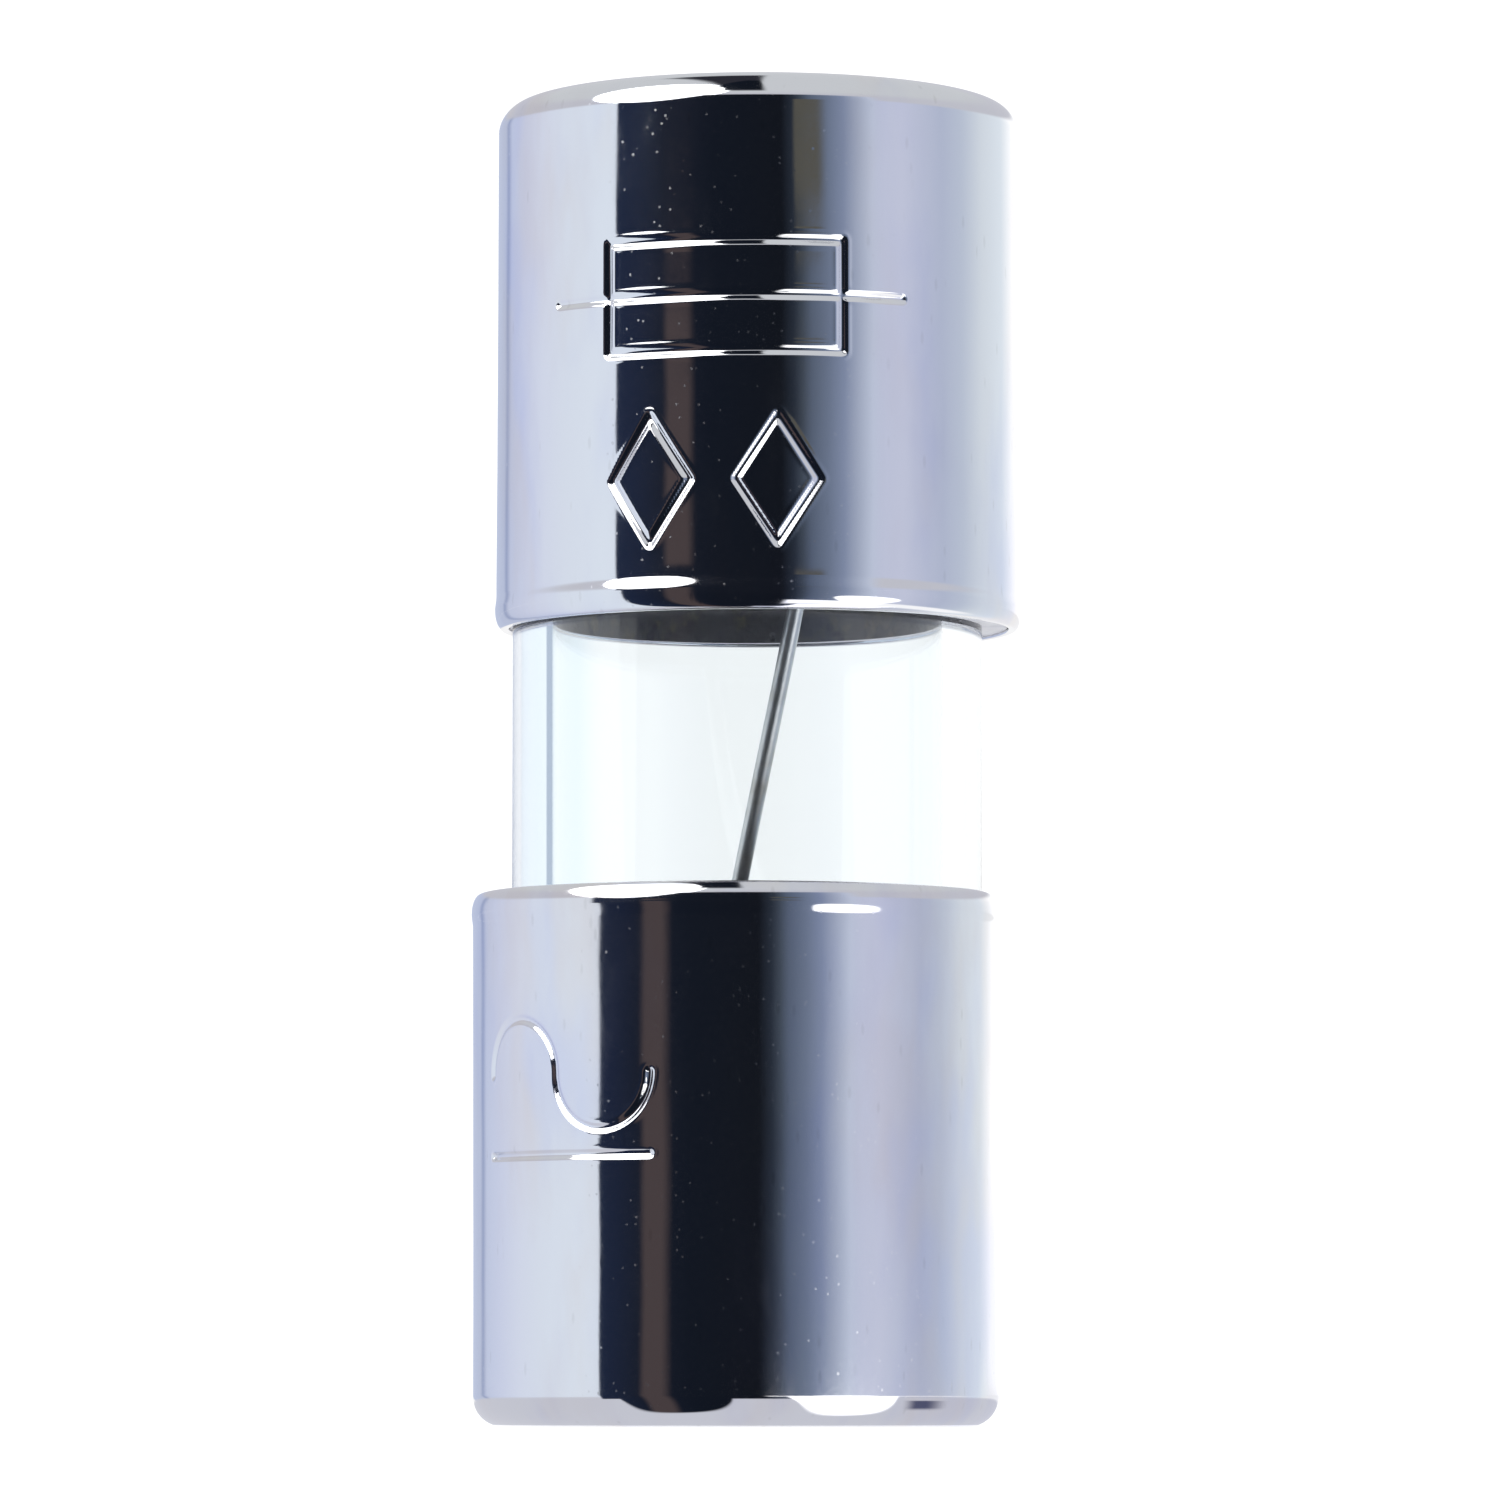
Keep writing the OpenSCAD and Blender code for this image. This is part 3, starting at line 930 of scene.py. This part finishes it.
def stage_floor(colour):
    """A wide pale floor that the fuse stands on."""
    half_width, squares = 2.0, 8
    steps = np.linspace(-half_width, half_width, squares + 1)
    floor = grid_object("floor", [[(x, y, 0.0) for x in steps] for y in steps])
    material, tree = new_material("Pale floor")
    where = add(tree, "ShaderNodeTexCoord").outputs["Object"]
    paper = add(tree, "ShaderNodeTexNoise", {"Vector": where, "Scale": 60.0, "Detail": 3.0})
    shade = mix(tree, fade(tree, paper.outputs["Fac"], 0.3, 0.7),
                tuple(v * 0.985 for v in colour), colour)
    # Its own faint light stands for what the studio's far walls would add
    principled(tree, {"Base Color": shade, "Roughness": 1.0,
                      "Specular IOR Level": 0.0, "Emission Color": (1, 1, 1, 1),
                      "Emission Strength": 0.72})
    floor.data.materials.append(material)


def card_shades(tree, cap_r=0.0):
    """The dark card's glow colour and cover at a place, from its turn and rise seen from
    the fuse. Close to a round cap the turn is the one under which the cap mirrors the
    place. Returns the turn in degrees, the reach, the glow colour and the cover."""
    where = add(tree, "ShaderNodeTexCoord")
    axes = add(tree, "ShaderNodeSeparateXYZ", {"Vector": where.outputs["Object"]}).outputs
    flat = add(tree, "ShaderNodeCombineXYZ", {"X": axes["X"], "Y": axes["Y"]})
    reach = add(tree, "ShaderNodeVectorMath", {0: flat.outputs["Vector"]},
                operation="LENGTH").outputs["Value"]
    closer = maths(tree, "DIVIDE", reach, maths(tree, "SUBTRACT", reach, 0.5 * cap_r))
    degrees = product(tree, turn_in_degrees(tree, axes), closer)
    rise = maths(tree, "MULTIPLY", maths(tree, "ARCTAN2", axes["Z"], reach), 180 / math.pi)

    card_glow = turn_ramp(tree, degrees, CARD_LEFT, CARD_RIGHT, [
        (CARD_LEFT, (0.016, 0.026, 0.062)), (-54, (0.013, 0.020, 0.045)),
        (-42, (0.011, 0.015, 0.028)), (-20, (0.007, 0.010, 0.018)),
        (10, (0.007, 0.009, 0.014)), (15.5, (0.024, 0.032, 0.048)),
        (19, (0.058, 0.074, 0.10)), (23, (0.11, 0.14, 0.20)),
        (30.5, (0.17, 0.21, 0.30)), (37.5, (0.25, 0.30, 0.43)),
        (44, (0.42, 0.47, 0.60)), (51, (0.60, 0.66, 0.80)),
        (CARD_RIGHT, (0.62, 0.66, 0.81))])
    # A brown post in the card's lower part, and a khaki edge at its upper right, painted into its glow
    # for the caps to mirror
    post = product(tree, band(tree, degrees, -43.0, -39.0, -32.0, -27.0),
                   fade(tree, rise, 9.4, 8.8), 0.85)
    card_glow = mix(tree, post, card_glow, (0.088, 0.066, 0.066))
    edge = product(tree, band(tree, degrees, 14.5, 16.5, 25.0, 31.0),
                   band(tree, rise, 9.2, 9.9, 11.0, 12.0))
    card_glow = mix(tree, edge, card_glow, (0.105, 0.100, 0.082))

    # Its left edge leans out with height, and a narrow part of it stands up further
    leaning = maths(tree, "MULTIPLY_ADD", fade(tree, rise, 3.0, 7.0), 3.5, degrees)
    left = fade(tree, leaning, -62.0, -60.7)
    right = fade(tree, degrees, 58.0, 48.0)
    top = fade(tree, rise, 27.0, 24.0)
    tall = product(tree, band(tree, degrees, -28.0, -23.0, 1.0, 5.0),
                   fade(tree, rise, 36.0, 44.0))
    shown = product(tree, left, right, maths(tree, "MAXIMUM", top, tall))
    return degrees, reach, card_glow, shown


def glow_where(tree, colour, cover):
    """Ends a material that glows in a colour where the cover is 1, and is clear at 0."""
    glow = add(tree, "ShaderNodeEmission", {"Color": colour, "Strength": 1.0})
    clear = add(tree, "ShaderNodeBsdfTransparent")
    both = add(tree, "ShaderNodeMixShader",
               {"Fac": cover, 1: clear.outputs["BSDF"], 2: glow.outputs["Emission"]})
    out = tree.nodes.new("ShaderNodeOutputMaterial")
    tree.links.new(both.outputs["Shader"], out.inputs["Surface"])


def reflected_only(piece):
    """Leaves a stage piece to be seen in polished metal alone."""
    piece.visible_camera = False
    piece.visible_diffuse = False
    piece.visible_volume_scatter = False
    piece.visible_shadow = False


def place_at(turn, rise, reach):
    """A place at a turn from -Y towards +X and a rise above the floor, in radians."""
    return (reach * math.sin(turn) * math.cos(rise),
            -reach * math.cos(turn) * math.cos(rise), reach * math.sin(rise))


def lens_edge(tree, degrees, reach, middle, half, nearest):
    """1 past an edge on the mat that comes nearest to the fuse at a turn, and draws away
    from it at both sides."""
    off = maths(tree, "DIVIDE", maths(tree, "SUBTRACT", degrees, middle), half)
    wide = maths(tree, "MULTIPLY_ADD", product(tree, off, off), -1.0, 1.0, clamp=True)
    past = product(tree, maths(tree, "SUBTRACT", reach, nearest), wide, wide)
    return fade(tree, past, 0.03 * MM, 0.08 * MM)


def dark_card():
    """A curved dark card by the camera, glowing dimly and seen only in reflections: a painted
    reflection.
    """
    radius = 0.45
    turns = np.radians(np.linspace(CARD_LEFT, CARD_RIGHT, 66))
    low_rows, high_rows = np.linspace(0, 24, 13), np.linspace(30, 84, 10)
    card = grid_object("dark_card", [
        [place_at(turn, rise, radius) for turn in turns]
        for rise in np.radians(np.concatenate([low_rows, high_rows]))])
    material, tree = new_material("Dark card")
    _, _, card_glow, shown = card_shades(tree)
    glow_where(tree, card_glow, shown)
    card.data.materials.append(material)
    reflected_only(card)


def table_mat():
    """A glowing sheet under the dark card, seen only in reflections, standing in for the
    floor there with painted reflection, shade and light. It runs up to the fuse and is
    painted grey at its inner edge."""
    thickness, cap_r = 0.02 * MM, 3.1 * MM
    rings = [v * MM for v in (2.7, 3.2, 3.6, 4, 5, 7, 9, 12, 20, 60, 150, 400, 1900)]
    turns = np.radians(np.linspace(-180, 180, 145))
    mat = grid_object("table_mat", [
        [(r * math.sin(t), -r * math.cos(t), thickness) for t in turns] for r in rings])
    material, tree = new_material("Table mat")
    degrees, reach, card_glow, shown = card_shades(tree, cap_r)
    walls = wall_colours(tree, degrees)
    # Painted shade: grey near the fuse, where the floor by the foot lies in shade, fading out to the
    # walls' colours
    grey = mix(tree, fade(tree, reach, 5.0 * MM, 12.0 * MM), (0.67, 0.68, 0.745), walls)
    # The card's foot is painted into the mat as its reflection, and comes nearest to the fuse at its
    # left
    foot = maths(tree, "MAXIMUM", fade(tree, reach, 4.9 * MM, 5.4 * MM),
                 lens_edge(tree, degrees, reach, -28.0, 27.0, 3.13 * MM))
    colour = mix(tree, product(tree, shown, foot), grey, card_glow)
    # A dark mark painted into the mat beside the foot, at the right, seen only as a painted reflection
    # in the foot
    mark = product(tree, band(tree, degrees, 78.0, 88.0, 94.0, 114.0),
                   band(tree, reach, 3.1 * MM, 3.25 * MM, 3.9 * MM, 4.3 * MM))
    colour = mix(tree, mark, colour, (0.10, 0.11, 0.19))
    # Painted pools of light at the right of the fuse: a lens by its foot, a wider one
    # further out, an oval one far out, and a dimmer one aside
    foot_pool = product(tree, fade(tree, reach, 14 * MM, 9 * MM),
                        lens_edge(tree, degrees, reach, 49.0, 29.0, 2.98 * MM))
    near_pool = product(tree, band(tree, degrees, 11.0, 15.0, 57.0, 64.0),
                        band(tree, reach, 9 * MM, 14 * MM, 18 * MM, 21 * MM))
    # How far off the far pool's middle a place is, as a share of its half widths
    far_turn, far_reach = 50.0, 33 * MM
    half_turn, half_reach = 17.0, 20 * MM
    across = maths(tree, "MULTIPLY_ADD", degrees, 1 / half_turn, -far_turn / half_turn)
    along = maths(tree, "MULTIPLY_ADD", reach, 1 / half_reach, -far_reach / half_reach)
    far_pool = fade(tree, maths(tree, "MULTIPLY_ADD", across, across,
                                product(tree, along, along)), 1.0, 0.8)
    aside = product(tree, band(tree, degrees, 50.0, 60.0, 110.0, 136.0),
                    band(tree, reach, 9 * MM, 13 * MM, 17 * MM, 21 * MM))
    pools = maths(tree, "MAXIMUM", maths(tree, "MAXIMUM", foot_pool, near_pool), far_pool)
    colour = mix(tree, aside, colour, (1.15, 1.15, 1.15))
    colour = mix(tree, pools, colour, (1.7, 1.7, 1.7))
    glow_where(tree, colour, 1.0)
    mat.data.materials.append(material)
    reflected_only(mat)


def softbox():
    """A round soft light, up at the left of the camera and turned to the fuse."""
    turn, rise, roll = math.radians(-51), math.radians(38), math.radians(-25)
    distance, aim = 0.4, Vector((0, 0, 0.008))
    data = bpy.data.lights.new("softbox", "AREA")
    data.energy = 1.08
    data.shape = "ELLIPSE"
    data.size = 0.45
    data.size_y = 0.42
    light = put_in_scene("softbox", data)
    away = Vector(place_at(turn, rise, 1.0))
    light.location = aim + away * distance
    light.rotation_mode = "QUATERNION"
    light.rotation_quaternion = away.to_track_quat("Z", "Y") @ Quaternion((0, 0, 1), roll)


def studio_camera(s):
    """The camera, a little right of the fuse's axis."""
    data = bpy.data.cameras.new("camera")
    data.lens = s.lens
    data.sensor_width = 36.0
    data.clip_start = 0.001
    data.clip_end = 10.0
    camera = put_in_scene("camera", data)
    camera.location = (0.0335 * MM, -s.distance, s.height)
    camera.rotation_euler = (math.pi / 2 + s.tilt, 0, 0)
    bpy.context.scene.camera = camera


class FUSE_OT_stage(bpy.types.Operator):
    """Set the floor, the lights and the camera"""
    bl_idname = "fuse.stage"
    bl_label = "Stage"

    def execute(self, context):
        s = context.scene.fuse_stage
        studio_world(s.backdrop)
        stage_floor(tuple(s.floor))
        dark_card()
        table_mat()
        softbox()
        studio_camera(s)
        context.scene.view_settings.view_transform = "Standard"
        context.scene.view_settings.look = "None"
        return {"FINISHED"}


# ---- panel and start

class FUSE_PT_panel(bpy.types.Panel):
    """The pieces of the fuse and their sizes"""
    bl_idname = "FUSE_PT_panel"
    bl_label = "Cartridge Fuse"
    bl_space_type = "VIEW_3D"
    bl_region_type = "UI"
    bl_category = "Fuse"

    def draw(self, context):
        scene = context.scene
        for label, settings, operator in (
                ("Caps", scene.fuse_caps, "fuse.caps"),
                ("Glass", scene.fuse_glass, "fuse.glass"),
                ("Wire", scene.fuse_wire, "fuse.wire"),
                ("Fillings", None, "fuse.fillings"),
                ("Stage", scene.fuse_stage, "fuse.stage")):
            box = self.layout.box()
            box.label(text=label)
            if settings is not None:
                for key in settings.__annotations__:
                    box.prop(settings, key)
            box.operator(operator)


SETTINGS = {"fuse_caps": FuseCapSettings, "fuse_glass": FuseGlassSettings,
            "fuse_wire": FuseWireSettings, "fuse_stage": FuseStageSettings}
CLASSES = (*SETTINGS.values(), FUSE_OT_caps, FUSE_OT_glass, FUSE_OT_wire,
           FUSE_OT_fillings, FUSE_OT_stage, FUSE_PT_panel)


def register():
    for cls in CLASSES:
        bpy.utils.register_class(cls)
    for name, cls in SETTINGS.items():
        setattr(bpy.types.Scene, name, PointerProperty(type=cls))


def unregister():
    for name in SETTINGS:
        delattr(bpy.types.Scene, name)
    for cls in reversed(CLASSES):
        bpy.utils.unregister_class(cls)


def main():
    register()
    bpy.ops.fuse.glass()
    bpy.ops.fuse.wire()
    bpy.ops.fuse.fillings()
    bpy.ops.fuse.caps()
    bpy.ops.fuse.stage()


if __name__ == "__main__":
    main()
